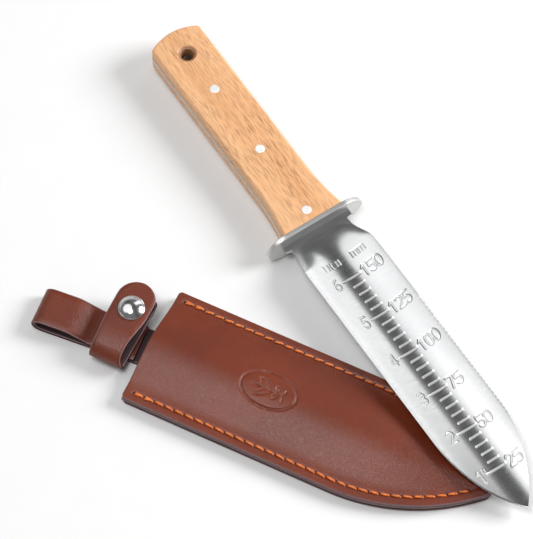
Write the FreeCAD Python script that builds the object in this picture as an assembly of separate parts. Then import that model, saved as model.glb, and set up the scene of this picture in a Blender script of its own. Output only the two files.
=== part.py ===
import FreeCAD, Part
import math
import os
from FreeCAD import Vector

# A hori hori digging knife lying with its tip across its leather sheath.
# Millimetres. The sheath lies on the floor on its back face: +X runs from its mouth to its tip,
# +Y across it, +Z up. The knife is modelled along its own +X (butt to tip) and then laid in place.

os.makedirs("parts", exist_ok=True)

# ---- knife ----------------------------------------------------------------
BLADE_LENGTH = 183.0          # front of the guard to the tip
BLADE_HALF_WIDTH = 20.0
STEEL = 2.5                   # blade and tang thickness
TROUGH_RADIUS = 37.3          # the blade is a gutter of this radius
TIP_TAPER = 51.0              # length over which both edges curve in to the tip
BEVEL = 3.0                   # width of the ground bevel on the convex side
EDGE_STEEL = 0.3              # thickness left at the edge
NECK_HALF_WIDTH = 16.7
TOOTH_PITCH = 2.45
TOOTH_DEPTH = 0.6
TEETH_FROM_TIP = (11.0, 122.0)
TICK_DEPTH = 0.3
TICK_WIDTH = 1.0

HANDLE_LENGTH = 135.0         # guard to the middle of the butt
HANDLE_HALF_WIDTH = 14.6
HANDLE_FLARE_HALF_WIDTH = 17.8
FLARE_LENGTH = 31.0
BUTT_RADIUS = 28.0
BUTT_CORNER = 2.4
HANDLE_THICKNESS = 17.0
SCALE_ROUNDING = 2.2
GUARD_THICKNESS = 2.6
GUARD_HALF_LENGTH = 28.5
GUARD_HALF_HEIGHT = 9.0
GUARD_FLAT_HALF = 17.0        # the long edges are straight this far either side
GUARD_CURVE_RADIUS = 12.2
RIVET_RADIUS = 2.5
RIVETS_FROM_GUARD = (8.5, 51.0, 93.5)
LANYARD_HOLE_FROM_GUARD = 119.2
LANYARD_HOLE_RADIUS = 3.25

KNIFE_X = 46.9                # middle of the guard's front face, over the floor
KNIFE_Y = 91.8
KNIFE_YAW = -30.5             # degrees from the sheath's +X
KNIFE_TILT = -0.48            # degrees the tip rises; it dips, so the blade meets the sheath
GUARD_HEIGHT = 9.2            # middle of the guard above the floor: its lower edge stands on it

# ---- sheath ---------------------------------------------------------------
SHEATH_LENGTH = 186.0         # to the point its two sides would meet in
SHEATH_HALF_WIDTH = 32.5
SHEATH_STRAIGHT = 112.0       # the sides run parallel to here, then curve to the tip
TIP_ROUNDING = 4.0
LEATHER = 2.2
WELT_WIDTH = 8.0
BULGE = 5.6                   # the front panel stands this much above its rim
BULGE_INSET = 6.0             # the bulge starts this far inside the edge
SEAM_INSET = 4.7
STITCH_PITCH = 5.5
STITCH_LENGTH = 4.1
THREAD_RADIUS = 0.55
CHANNEL_DEPTH = 0.5
EMBOSS_X = 68.0
EMBOSS_HALF_X = 17.0
EMBOSS_HALF_Y = 11.0

TONGUE_Y = (-10.8, 9.4)        # the tongue's two edges
TONGUE_YAW = 4.5              # the soft tongue lies at this angle to the sheath's middle line
FOLD_X = -60.5                # the tongue folds back over itself here to make the belt loop
LOOP_RISE = 7.2               # gap floor to the top strip's underside
STRAP_X = (-24.7, -6.3)       # the strap's two edges
STRAP = 1.8                   # strap leather thickness
HINGE_Y = -17.4
HINGE_Z = 5.35
INNER_Z = 12.1                # middle of the strap's inner end
FLAP_Z = 14.25                # middle of the flap
SNAP_X = -15.0
SNAP_Y = 9.5


def smooth(t):
    """0 below 0, 1 above 1, an S curve between."""
    t = max(0.0, min(1.0, t))
    return t * t * (3.0 - 2.0 * t)


def prism(points, z0, z1):
    """An upright prism on a closed polygon of (x, y) points."""
    corners = [Vector(x, y, z0) for x, y in points]
    face = Part.Face(Part.makePolygon(corners + [corners[0]]))
    return face.extrude(Vector(0, 0, z1 - z0))


def height_field(x0, x1, nx, y0, y1, ny, height):
    """A smooth face z = height(x, y) over a rectangle."""
    rows = []
    for i in range(nx + 1):
        x = x0 + (x1 - x0) * i / nx
        ys = [y0 + (y1 - y0) * j / ny for j in range(ny + 1)]
        rows.append([Vector(x, y, height(x, y)) for y in ys])
    surface = Part.BSplineSurface()
    surface.interpolate(rows)
    return surface.toShape()


# ---- blade ----------------------------------------------------------------

def blade_half_width(x):
    """Half width of the blade at distance x from the guard."""
    into_taper = x - (BLADE_LENGTH - TIP_TAPER)
    if into_taper <= 0:
        return BLADE_HALF_WIDTH
    radius = (TIP_TAPER ** 2 + BLADE_HALF_WIDTH ** 2) / (2 * BLADE_HALF_WIDTH)
    return BLADE_HALF_WIDTH - radius + math.sqrt(radius ** 2 - into_taper ** 2)


def trough(x, y):
    """Rise of the gutter above its middle line; it flattens out towards the guard."""
    rise = TROUGH_RADIUS - math.sqrt(TROUGH_RADIUS ** 2 - y ** 2)
    return rise * smooth((x - 2.0) / 28.0)


def blade_section(x):
    """Closed wire across the blade: top curve, two thin edges, two bevels, bottom curve."""
    half = blade_half_width(x)
    bevel = min(BEVEL, 0.45 * half) * max(0.12, smooth((x - 14.0) / 10.0))
    flat = half - bevel
    top = [Vector(x, y, trough(x, y) + STEEL / 2) for y in [half * (k / 5.0 - 1) for k in range(11)]]
    low = [Vector(x, y, trough(x, y) - STEEL / 2) for y in [flat * (1 - k / 5.0) for k in range(11)]]
    edge = EDGE_STEEL + (STEEL - EDGE_STEEL) * (1 - smooth((x - 14.0) / 10.0))
    left = top[0] - Vector(0, 0, edge)
    right = top[-1] - Vector(0, 0, edge)
    top_curve = Part.BSplineCurve()
    top_curve.interpolate(top)
    low_curve = Part.BSplineCurve()
    low_curve.interpolate(low)
    edges = [
        top_curve.toShape(),
        Part.makeLine(top[-1], right),
        Part.makeLine(right, low[0]),
        low_curve.toShape(),
        Part.makeLine(low[-1], left),
        Part.makeLine(left, top[0]),
    ]
    return Part.Wire(edges)


def blade_body():
    near = [0, 3, 7, 11, 15, 19, 23, 27, 31]
    taper_start = BLADE_LENGTH - TIP_TAPER
    middle = [31, 60, 90, taper_start]
    end = [taper_start + TIP_TAPER * f for f in
           (0, 0.12, 0.25, 0.38, 0.5, 0.61, 0.71, 0.8, 0.87, 0.93, 0.97, 0.99)]
    parts = [Part.makeLoft([blade_section(x) for x in run], True, False)
             for run in (near, middle, end)]
    return parts[0].fuse(parts[1:]).removeSplitter()


def neck_cut(side):
    """Scoop that narrows the blade just in front of its collar."""
    y0 = side * NECK_HALF_WIDTH
    y1 = side * (BLADE_HALF_WIDTH + 0.05)
    far = side * (BLADE_HALF_WIDTH + 4)
    outline = [(2.6, far), (2.6, y0), (6.5, y0), (10.0, y0 + side * 0.35),
               (14.0, y0 + side * 1.2), (18.0, y0 + side * 2.1), (23.0, y1), (23.0, far)]
    return prism(outline, -6, 12)


def teeth():
    """The notches of the serrated edge, as one compound to cut away."""
    notches = []
    at = TEETH_FROM_TIP[0]
    while at < TEETH_FROM_TIP[1]:
        x = BLADE_LENGTH - at
        y = blade_half_width(x)
        slope = (blade_half_width(x + 0.1) - blade_half_width(x - 0.1)) / 0.2
        along = Vector(1, slope, 0).normalize()
        out = Vector(-along.y, along.x, 0)
        root = Vector(x, y, 0) - out * TOOTH_DEPTH
        a = Vector(x, y, 0) + out * 0.6 - along * TOOTH_PITCH * 0.62
        b = Vector(x, y, 0) + out * 0.6 + along * TOOTH_PITCH * 0.62
        notches.append(prism([(root.x, root.y), (b.x, b.y), (a.x, a.y)], -4, 12))
        at += TOOTH_PITCH
    return Part.makeCompound(notches)


def ruler_ticks():
    """Shallow stamped lines every 5 mm from 25 mm to 150 mm from the tip, long ones every 25 mm."""
    floor = height_field(BLADE_LENGTH - 155, BLADE_LENGTH - 20, 4, -8, 8, 8,
                         lambda x, y: trough(BLADE_LENGTH, y) + STEEL / 2 - TICK_DEPTH)
    layer = floor.extrude(Vector(0, 0, 2))
    boxes = []
    for mark in range(25, 155, 5):
        x = BLADE_LENGTH - mark - TICK_WIDTH / 2
        y0, y1 = (-6.0, 4.5) if mark % 25 == 0 else (-2.0, 3.5)
        boxes.append(Part.makeBox(TICK_WIDTH, y1 - y0, 6, Vector(x, y0, 0)))
    return layer.common(Part.makeCompound(boxes))


# ---- handle ---------------------------------------------------------------

def handle_outline(start, trim):
    """Closed wire round the handle in plan, from x = -start back to the butt, pulled in by trim."""
    half = HANDLE_HALF_WIDTH - trim
    flare = HANDLE_FLARE_HALF_WIDTH - trim
    butt = -HANDLE_LENGTH + trim
    corner = butt + BUTT_RADIUS - math.sqrt(BUTT_RADIUS ** 2 - half ** 2)
    mid = Vector(-start - FLARE_LENGTH * 0.42, half + (flare - half) * 0.28, 0)

    def flip(v):
        return Vector(v.x, -v.y, 0)

    a = Vector(-start, flare, 0)
    b = Vector(-FLARE_LENGTH, half, 0)
    c = Vector(corner, half, 0)
    edges = [
        Part.Arc(a, mid, b).toShape(),
        Part.makeLine(b, c),
        Part.Arc(c, Vector(butt, 0, 0), flip(c)).toShape(),
        Part.makeLine(flip(c), flip(b)),
        Part.Arc(flip(b), flip(mid), flip(a)).toShape(),
        Part.makeLine(flip(a), a),
    ]
    return Part.Wire(edges)


def round_butt(solid, radius):
    """Round the two upright corners at the butt."""
    corners = [e for e in solid.Edges
               if e.BoundBox.XLength < 0.01 and e.BoundBox.YLength < 0.01
               and e.BoundBox.ZLength > 1 and e.CenterOfMass.x < -HANDLE_LENGTH * 0.8]
    return solid.makeFillet(radius, corners)


def through_handle(x, radius):
    return Part.makeCylinder(radius, 30, Vector(x, 0, -15))


def tang():
    slab = Part.Face(handle_outline(GUARD_THICKNESS, 0.15)).extrude(Vector(0, 0, STEEL))
    slab.translate(Vector(0, 0, -STEEL / 2))
    slab = round_butt(slab, BUTT_CORNER)
    neck = Part.makeBox(GUARD_THICKNESS + 2, 28, STEEL, Vector(-GUARD_THICKNESS - 1, -14, -STEEL / 2))
    steel = slab.fuse(neck)
    for x in RIVETS_FROM_GUARD:
        steel = steel.cut(through_handle(-x, RIVET_RADIUS + 0.1))
    return steel.cut(through_handle(-LANYARD_HOLE_FROM_GUARD, LANYARD_HOLE_RADIUS))


def blade():
    steel = blade_body()
    steel = steel.cut([neck_cut(1), neck_cut(-1)])
    steel = steel.cut(teeth())
    steel = steel.cut(ruler_ticks())
    return steel.fuse(tang()).removeSplitter()


def scale(side):
    """One wooden handle scale; side is +1 for the front (upper) one and -1 for the back."""
    inner = STEEL / 2 + 0.02
    thick = HANDLE_THICKNESS / 2 - inner
    body = Part.Face(handle_outline(GUARD_THICKNESS + 0.02, 0)).extrude(Vector(0, 0, thick))
    body = round_butt(body, BUTT_CORNER)
    rim = [e for e in body.Edges
           if e.BoundBox.ZMin > thick - 0.01 and e.CenterOfMass.x < -GUARD_THICKNESS - 0.5]
    body = body.makeFillet(SCALE_ROUNDING, rim)
    body.translate(Vector(0, 0, inner))
    for x in RIVETS_FROM_GUARD:
        body = body.cut(through_handle(-x, RIVET_RADIUS + 0.02))
    x = -LANYARD_HOLE_FROM_GUARD
    body = body.cut(through_handle(x, LANYARD_HOLE_RADIUS))
    top = HANDLE_THICKNESS / 2
    sink = Part.makeCone(LANYARD_HOLE_RADIUS, LANYARD_HOLE_RADIUS + 2.5, 2.5, Vector(x, 0, top - 1.5))
    body = body.cut(sink)
    if side < 0:
        body = body.mirror(Vector(0, 0, 0), Vector(0, 0, 1))
    return body


def rivet(x):
    length = HANDLE_THICKNESS + 0.3
    pin = Part.makeCylinder(RIVET_RADIUS, length, Vector(-x, 0, -length / 2))
    ends = [e for e in pin.Edges if e.Closed and e.BoundBox.ZLength < 0.01]
    return pin.makeFillet(0.35, ends)


def guard():
    """Upright plate between blade and handle, seen end-on: flat top and bottom, curving to round ends."""
    length = GUARD_HALF_LENGTH
    high = GUARD_HALF_HEIGHT
    flat = GUARD_FLAT_HALF
    big = GUARD_CURVE_RADIUS
    run = length - flat
    small = (run ** 2 + high ** 2 - 2 * high * big) / (2 * (run - big))
    middle = length - small
    turn = math.atan2(middle - flat, big - high)

    def at(y, z):
        return Vector(0, y, z)

    def on_big(angle):
        return flat + big * math.sin(angle), high - big * (1 - math.cos(angle))

    side, drop = on_big(turn / 2)
    end, low = on_big(turn)
    arcs = [
        (at(flat, high), at(side, drop), at(end, low)),
        (at(end, low), at(length, 0), at(end, -low)),
        (at(end, -low), at(side, -drop), at(flat, -high)),
        (at(-flat, -high), at(-side, -drop), at(-end, -low)),
        (at(-end, -low), at(-length, 0), at(-end, low)),
        (at(-end, low), at(-side, drop), at(-flat, high)),
    ]
    edges = [Part.Arc(*arc).toShape() for arc in arcs]
    edges.insert(3, Part.makeLine(arcs[2][2], arcs[3][0]))
    edges.append(Part.makeLine(arcs[5][2], arcs[0][0]))
    plate = Part.Face(Part.Wire(edges)).extrude(Vector(-GUARD_THICKNESS, 0, 0))
    rim = [e for e in plate.Edges if e.BoundBox.XLength < 0.01]
    plate = plate.makeFillet(0.5, rim)
    slot = Part.makeBox(GUARD_THICKNESS + 2, 28.1, STEEL + 0.06,
                        Vector(-GUARD_THICKNESS - 1, -14.05, -STEEL / 2 - 0.03))
    return plate.cut(slot)


def lay_knife(shape):
    """Move a knife piece from its own axes to where the knife lies across the sheath."""
    turn = FreeCAD.Rotation(Vector(0, 0, 1), KNIFE_YAW)
    lift = FreeCAD.Rotation(Vector(0, 1, 0), -KNIFE_TILT)
    place = FreeCAD.Placement(Vector(KNIFE_X, KNIFE_Y, GUARD_HEIGHT), turn.multiply(lift))
    return shape.transformed(place.toMatrix())


# ---- sheath ---------------------------------------------------------------

def sheath_radius():
    run = SHEATH_LENGTH - SHEATH_STRAIGHT
    return (run ** 2 + SHEATH_HALF_WIDTH ** 2) / (2 * SHEATH_HALF_WIDTH)


def sheath_half_width(x, inset=0.0):
    """Half width of the sheath outline at x, for an outline pulled in by inset."""
    if x <= SHEATH_STRAIGHT:
        return SHEATH_HALF_WIDTH - inset
    radius = sheath_radius()
    inside = (radius - inset) ** 2 - (x - SHEATH_STRAIGHT) ** 2
    return math.sqrt(max(0.0, inside)) + SHEATH_HALF_WIDTH - radius


def sheath_tip(inset):
    radius = sheath_radius()
    return SHEATH_STRAIGHT + math.sqrt((radius - inset) ** 2 - (radius - SHEATH_HALF_WIDTH) ** 2)


def sheath_prism(inset, x0, z0, z1):
    """Upright prism on the sheath's leaf-shaped outline."""
    half = SHEATH_HALF_WIDTH - inset
    tip = sheath_tip(inset)
    middle = (SHEATH_STRAIGHT + tip) / 2
    side = sheath_half_width(middle, inset)
    start = Vector(x0, -half, z0)
    bend = Vector(SHEATH_STRAIGHT, -half, z0)
    point = Vector(tip, 0, z0)
    bend_far = Vector(SHEATH_STRAIGHT, half, z0)
    start_far = Vector(x0, half, z0)
    edges = [
        Part.makeLine(start, bend),
        Part.Arc(bend, Vector(middle, -side, z0), point).toShape(),
        Part.Arc(point, Vector(middle, side, z0), bend_far).toShape(),
        Part.makeLine(bend_far, start_far),
        Part.makeLine(start_far, start),
    ]
    body = Part.Face(Part.Wire(edges)).extrude(Vector(0, 0, z1 - z0))
    return body


def rounded_sheath_prism(z0, z1):
    """The outer outline with its tip and mouth corners rounded."""
    body = sheath_prism(0, 0, z0, z1)
    upright = [e for e in body.Edges if e.BoundBox.XLength < 0.01 and e.BoundBox.YLength < 0.01]
    tip = [e for e in upright if e.CenterOfMass.x > SHEATH_LENGTH - 1]
    body = body.makeFillet(TIP_ROUNDING, tip)
    upright = [e for e in body.Edges if e.BoundBox.XLength < 0.01 and e.BoundBox.YLength < 0.01]
    mouth = [e for e in upright if e.CenterOfMass.x < 1]
    return body.makeFillet(2.5, mouth)


def bulge(x, y):
    """Height of the front panel above its rim."""
    wide = sheath_half_width(x, BULGE_INSET)
    if wide <= 0.5 or abs(y) >= wide:
        return 0.0
    full = SHEATH_HALF_WIDTH - BULGE_INSET
    inward = (1 - abs(y) / wide) / 0.8
    return BULGE * smooth(inward) * (wide / full) ** 1.1


def seam_channel(z0, z1):
    """The shallow groove the stitches lie in."""
    outer = sheath_prism(SEAM_INSET - 0.75, 4, z0, z1)
    inner = sheath_prism(SEAM_INSET + 0.75, 3, z0 - 1, z1 + 1)
    return outer.cut(inner)


def front_panel():
    face = height_field(-2, SHEATH_LENGTH + 2, 60, -34, 34, 44,
                        lambda x, y: 3 * LEATHER + bulge(x, y))
    slab = face.extrude(Vector(0, 0, -LEATHER))
    panel = slab.common(rounded_sheath_prism(0, 30))
    panel = panel.cut(seam_channel(3 * LEATHER - CHANNEL_DEPTH, 3 * LEATHER + 3))
    pressed = face.translated(Vector(0, 0, -0.35)).extrude(Vector(0, 0, 2))
    return panel.cut(oval_ring().common(pressed))


def oval_ring():
    """Upright oval ring that presses the outline of the emblem into the leather."""
    def oval(a, b):
        ellipse = Part.Ellipse(Vector(EMBOSS_X, 0, 0), a, b).toShape()
        return Part.Face(Part.Wire(ellipse)).extrude(Vector(0, 0, 20))
    return oval(EMBOSS_HALF_X, EMBOSS_HALF_Y).cut(oval(EMBOSS_HALF_X - 1, EMBOSS_HALF_Y - 1))


def welt():
    body = rounded_sheath_prism(LEATHER + 0.02, 2 * LEATHER - 0.05)
    return body.cut(sheath_prism(WELT_WIDTH, -5, 0, 10))


def curve(points):
    spline = Part.BSplineCurve()
    spline.interpolate(points)
    return spline


def strip(path, thickness, width_axis, width):
    """A bent strip of leather: a curve thickened by its normals and extruded across its width."""
    middle = curve(path)
    count = 60
    first = middle.FirstParameter
    last = middle.LastParameter
    sides = ([], [])
    for i in range(count + 1):
        at = first + (last - first) * i / count
        tangent = middle.tangent(at)[0]
        normal = tangent.cross(width_axis).normalize()
        point = middle.value(at)
        sides[0].append(point + normal * thickness / 2)
        sides[1].append(point - normal * thickness / 2)
    one = curve(sides[0]).toShape()
    two = curve(sides[1]).toShape()
    ends = [Part.makeLine(sides[0][0], sides[1][0]), Part.makeLine(sides[0][-1], sides[1][-1])]
    outline = Part.Wire(Part.__sortEdges__([one, ends[0], two, ends[1]]))
    return Part.Face(outline).extrude(width_axis * width)


def back_panel():
    """Back of the sheath, its tongue, and the belt loop the tongue folds into: one piece."""
    back = rounded_sheath_prism(0, LEATHER)
    back = back.cut(seam_channel(-1, CHANNEL_DEPTH))
    width = TONGUE_Y[1] - TONGUE_Y[0]
    tongue = Part.makeBox(48, width, LEATHER, Vector(-45, TONGUE_Y[0], 0))
    mid = LEATHER / 2
    top = LOOP_RISE + mid
    under_strap = 3 * mid + 0.02
    fold_start = -54.5
    fold_reach = fold_start - FOLD_X - mid
    fold_rise = (top - mid) / 2
    path = [(-44.9, mid + 0.03), (-49, mid + 0.03), (-52, mid + 0.03)]
    for step in range(7):
        turn = math.pi * step / 6
        rise = fold_rise * (1 - math.cos(turn))
        path.append((fold_start - fold_reach * math.sin(turn), mid + 0.03 + rise))
    for step in range(20):
        x = -52 + 47 * (step + 1) / 20
        path.append((x, top + (under_strap - top) * smooth((x + 43) / 16)))
    points = [Vector(x, TONGUE_Y[0], z) for x, z in path]
    loop = strip(points, LEATHER, Vector(0, 1, 0), width)
    for piece in (tongue, loop):
        piece.rotate(Vector(0, 0, 0), Vector(0, 0, 1), TONGUE_YAW)
    return back.fuse([tongue, loop])


def strap_width():
    return STRAP_X[1] - STRAP_X[0]


def strap_strip(path):
    points = [Vector(STRAP_X[0], y, z) for y, z in path]
    return strip(points, STRAP, Vector(1, 0, 0), strap_width())


def strap_base():
    """Lower run of the strap, its far bend and the inner end that carries the stud."""
    rise = INNER_Z - HINGE_Z
    turn = 16.0
    path = [(HINGE_Y, HINGE_Z), (-8, HINGE_Z), (4, HINGE_Z), (turn - 2.5, HINGE_Z),
            (turn + 1.6, HINGE_Z + 0.7), (turn + 3.5, HINGE_Z + rise / 2),
            (turn + 1.6, INNER_Z - 0.6), (turn - 2.5, INNER_Z), (8, INNER_Z), (2, INNER_Z)]
    body = strap_strip(path)
    barrel = Part.makeCylinder(STRAP / 2 + 0.35, strap_width() + 4,
                               Vector(STRAP_X[0] - 2, HINGE_Y, HINGE_Z), Vector(1, 0, 0))
    return body.cut(barrel)


def strap_flap():
    """The part of the strap that swings: from the near fold over the top to its rounded end."""
    path = [(HINGE_Y, HINGE_Z), (-18.2, 7.2), (-17.0, 9.8), (-13.2, 12.4),
            (-7.0, 13.9), (0, FLAP_Z), (8, FLAP_Z), (16, FLAP_Z), (24.6, FLAP_Z)]
    body = strap_strip(path)
    radius = strap_width() / 2
    middle = STRAP_X[0] + radius
    nose = Part.makeCylinder(radius, 30, Vector(middle, 24.6 - radius, 0))
    rest = Part.makeBox(strap_width(), 60, 30, Vector(STRAP_X[0], 24.6 - radius - 60, 0))
    body = body.common(nose.fuse(rest))
    knuckle = Part.makeCylinder(STRAP / 2, strap_width(),
                                Vector(STRAP_X[0], HINGE_Y, HINGE_Z), Vector(1, 0, 0))
    hole = Part.makeCylinder(1.5, 6, Vector(SNAP_X, SNAP_Y, FLAP_Z - 3))
    return body.fuse(knuckle).cut(hole)


def dome(radius, height, x, y, z):
    """Spherical cap standing on a short rim."""
    rim = 0.7
    cap = height - rim
    ball = (radius ** 2 + cap ** 2) / (2 * cap)
    sphere = Part.makeSphere(ball, Vector(x, y, z + height - ball))
    body = Part.makeCylinder(radius, height, Vector(x, y, z))
    return body.common(sphere.fuse(Part.makeCylinder(radius, rim, Vector(x, y, z))))


def snap_cap():
    """Bright domed cap of the snap, with the post that clinches through the flap."""
    top = FLAP_Z + STRAP / 2
    post = Part.makeCylinder(1.45, STRAP + 0.1, Vector(SNAP_X, SNAP_Y, top - STRAP - 0.05))
    return dome(6.8, 3.4, SNAP_X, SNAP_Y, top + 0.02).fuse(post)


def snap_socket():
    """Ring under the flap that grips the stud; it hangs into a cup in the inner end."""
    under = FLAP_Z - STRAP / 2
    z0 = under - 0.95
    ring = Part.makeCylinder(4.4, 0.93, Vector(SNAP_X, SNAP_Y, z0))
    return ring.cut(Part.makeCylinder(2.3, 2, Vector(SNAP_X, SNAP_Y, z0 - 0.5)))


def snap_stud():
    """Stud on the strap's inner end: a flange, the ball that the socket grips, and the post."""
    top = INNER_Z + STRAP / 2
    flange = Part.makeCylinder(4.2, 0.4, Vector(SNAP_X, SNAP_Y, top - 1.33))
    ball = Part.makeCylinder(1.9, 0.93, Vector(SNAP_X, SNAP_Y, top - 1.0))
    ball = ball.makeFillet(0.3, [e for e in ball.Edges if e.Closed and e.BoundBox.ZMin > top - 0.2])
    return flange.fuse(ball)


def snap_back():
    """Washer-like back of the stud, inside the ring of the strap."""
    low = INNER_Z - STRAP / 2
    plate = Part.makeCylinder(4.2, 0.5, Vector(SNAP_X, SNAP_Y, low - 0.56))
    post = Part.makeCylinder(1.3, 0.45, Vector(SNAP_X, SNAP_Y, low - 0.07))
    return plate.fuse(post)


def loop_rivet():
    """Tubular rivet holding strap, folded tongue and belt loop together, hidden in the ring."""
    top = HINGE_Z + STRAP / 2
    head = dome(4.0, 1.1, SNAP_X, 0, top + 0.02)
    shank = Part.makeCylinder(1.6, top + 0.02, Vector(SNAP_X, 0, 0.02))
    return head.fuse(shank)


def seam_points(side):
    """Stitch middles and directions along one edge, walked from the mouth to the tip."""
    radius = sheath_radius() - SEAM_INSET
    half = SHEATH_HALF_WIDTH - SEAM_INSET
    straight = SHEATH_STRAIGHT - 5.0
    sweep = math.asin((sheath_tip(SEAM_INSET) - SHEATH_STRAIGHT) / radius)
    length = straight + radius * sweep - 2.0
    count = int(length / STITCH_PITCH)
    for i in range(count):
        run = (i + 0.5) * STITCH_PITCH
        if run <= straight:
            yield Vector(5.0 + run, side * half, 0), Vector(1, 0, 0)
        else:
            turn = (run - straight) / radius
            x = SHEATH_STRAIGHT + radius * math.sin(turn)
            y = half - radius * (1 - math.cos(turn))
            yield Vector(x, side * y, 0), Vector(math.cos(turn), -side * math.sin(turn), 0)


def stitches(side):
    """All the thread that shows along one edge, on the front and on the back."""
    solids = []
    for point, along in seam_points(side):
        for z in (3 * LEATHER - CHANNEL_DEPTH + THREAD_RADIUS + 0.02, CHANNEL_DEPTH / 2):
            radius = THREAD_RADIUS if z > 1 else CHANNEL_DEPTH / 2 - 0.01
            start = point - along * STITCH_LENGTH / 2 + Vector(0, 0, z)
            solids.append(Part.makeCylinder(radius, STITCH_LENGTH, start, along))
    return Part.makeCompound(solids)


def write(name, shape):
    shape.exportStep("parts/" + name + ".step")


def main():
    write("blade", lay_knife(blade()))
    write("guard", lay_knife(guard()))
    write("scale_front", lay_knife(scale(1)))
    write("scale_back", lay_knife(scale(-1)))
    for number, x in enumerate(RIVETS_FROM_GUARD, 1):
        write("rivet_%d" % number, lay_knife(rivet(x)))
    write("sheath_front", front_panel())
    write("sheath_welt", welt())
    write("stitches_near", stitches(-1))
    write("stitches_far", stitches(1))
    hole = Part.makeCylinder(1.65, 20, Vector(SNAP_X, 0, -1))
    write("sheath_back", back_panel().cut(hole))
    stud_hole = Part.makeCylinder(1.35, 4, Vector(SNAP_X, SNAP_Y, INNER_Z - 2))
    cup = Part.makeCylinder(5.0, 3, Vector(SNAP_X, SNAP_Y, INNER_Z + STRAP / 2 - 1.35))
    write("strap_base", strap_base().cut([hole, stud_hole, cup]))
    write("strap_flap", strap_flap())
    write("snap_cap", snap_cap())
    write("snap_socket", snap_socket())
    write("snap_stud", snap_stud())
    write("snap_back", snap_back())
    write("loop_rivet", loop_rivet())


main()
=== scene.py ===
import math

import bmesh
import bpy
import numpy as np
from mathutils import Matrix, Vector


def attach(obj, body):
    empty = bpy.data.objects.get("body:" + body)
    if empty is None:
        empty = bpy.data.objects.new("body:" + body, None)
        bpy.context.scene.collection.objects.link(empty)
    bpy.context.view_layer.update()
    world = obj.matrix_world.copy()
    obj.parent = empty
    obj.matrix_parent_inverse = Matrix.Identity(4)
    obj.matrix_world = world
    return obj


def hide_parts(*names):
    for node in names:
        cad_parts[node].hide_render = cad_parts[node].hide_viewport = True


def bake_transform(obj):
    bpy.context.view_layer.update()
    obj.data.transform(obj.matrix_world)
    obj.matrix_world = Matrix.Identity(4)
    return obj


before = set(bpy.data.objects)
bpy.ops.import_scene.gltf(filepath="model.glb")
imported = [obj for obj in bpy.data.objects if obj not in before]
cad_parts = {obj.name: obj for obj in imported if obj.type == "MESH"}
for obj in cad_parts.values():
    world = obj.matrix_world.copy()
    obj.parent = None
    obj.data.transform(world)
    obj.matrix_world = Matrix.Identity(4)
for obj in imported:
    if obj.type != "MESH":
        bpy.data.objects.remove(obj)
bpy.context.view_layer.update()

# Hori hori knife lying across its leather sheath. Lengths are in millimetres until a mesh is made.
# Most named sizes are the CAD model's own. The emblem, the stitches, the handle's rounding, the flap's
# outline and the run of the trough were fitted again for looks.

MM = 0.001

# ---- knife sizes ----
BLADE_LENGTH = 183.0
BLADE_HALF_WIDTH = 20.0
STEEL = 2.5
TROUGH_RADIUS = 37.3
TROUGH_START = 2.0
TROUGH_RUN = 19.0
TIP_TAPER = 51.0
TIP_STUB = 0.12
NECK_HALF_WIDTH = 16.7
COLLAR_LENGTH = 2.6
COLLAR_STEP = 0.7
SHOULDER_START = 6.0
SHOULDER_RUN = 17.0
BEVEL = 3.0
BEVEL_START = 16.0
BEVEL_RUN = 8.0
BEVEL_DEPTH = 1.98
TOOTH_PITCH = 2.45
TOOTH_DEPTH = 0.6
TEETH_FROM_TIP = (11.0, 122.0)

STAMP_DEPTH = 0.15
RULER_MARKS = range(25, 155, 25)
LONG_TICK = (-6.0, 4.5)
SHORT_TICK = (-2.0, 3.5)
TICK_STROKE = 1.25
FIGURE_STROKE = 0.78
WORD_STROKE = 0.40
FIGURE_DROP = 3.2
WORD_FROM_TIP = 159
# where lettering starts across the blade, and the advance from one character to the next
MM_FIGURES = (6.0, 3.85)
MM_WORD = (6.6, 4.1)
INCH_FIGURES = (-11.2, 3.3)
INCH_WORD = (-10.4, 2.7)

HANDLE_LENGTH = 135.0
HANDLE_HALF_WIDTH = 14.6
HANDLE_FLARE = 3.2
FLARE_LENGTH = 31.0
BUTT_RADIUS = 28.0
BUTT_CORNER = 2.4
HANDLE_THICKNESS = 17.0
SCALE_ROUNDING = 1.6
SCALE_CROWN = 0.35
GUARD_THICKNESS = 2.6
PLAY = 0.02
LANYARD_HOLE_X = -119.2
LANYARD_HOLE_RADIUS = 3.25

KNIFE_PLACE = Vector((46.9, 91.8, 9.2))
KNIFE_YAW = math.radians(-30.5)
KNIFE_TILT = math.radians(-0.48)
KNIFE_MATRIX = (Matrix.Translation(KNIFE_PLACE) @ Matrix.Rotation(KNIFE_YAW, 4, "Z")
                @ Matrix.Rotation(-KNIFE_TILT, 4, "Y"))

# ---- sheath sizes ----
SHEATH_LENGTH = 186.0
SHEATH_HALF_WIDTH = 32.5
SHEATH_STRAIGHT = 112.0
TIP_ROUNDING = 4.0
MOUTH_CORNER = 2.5
LEATHER = 2.2
WELT_WIDTH = 8.0
BULGE = 5.6
BULGE_INSET = 6.0
SEAM_INSET = 4.7
SEAM_START = 5.0
STITCH_PITCH = 5.5
STITCH_LENGTH = 5.0
THREAD_RADIUS = 0.55
EMBOSS_X = 65.3
EMBOSS_HALF = (14.7, 9.3)
SPROUT_SCALE = 0.85
TONGUE_Y = (-10.8, 9.4)
TONGUE_YAW = math.radians(4.5)
FOLD_X = -60.5
FOLD_CENTRE_X = -54.5
LOOP_RISE = 7.2
STRAP_X = (-24.7, -6.3)
STRAP = 1.8
HINGE_Y = -17.4
HINGE_Z = 5.35
INNER_Z = 12.1
BEND_Y = 16.0
FLAP_Z = 14.25
FLAP_NOSE = 24.6
FLAP_SPREAD = 0.8
FLAP_WAIST = 2.0
SNAP = (-15.0, 9.5)
DOME_RADIUS = 6.1
DOME_RISE = 2.2
RIM_HEIGHT = 1.12


# ---- mesh building ----

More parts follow.
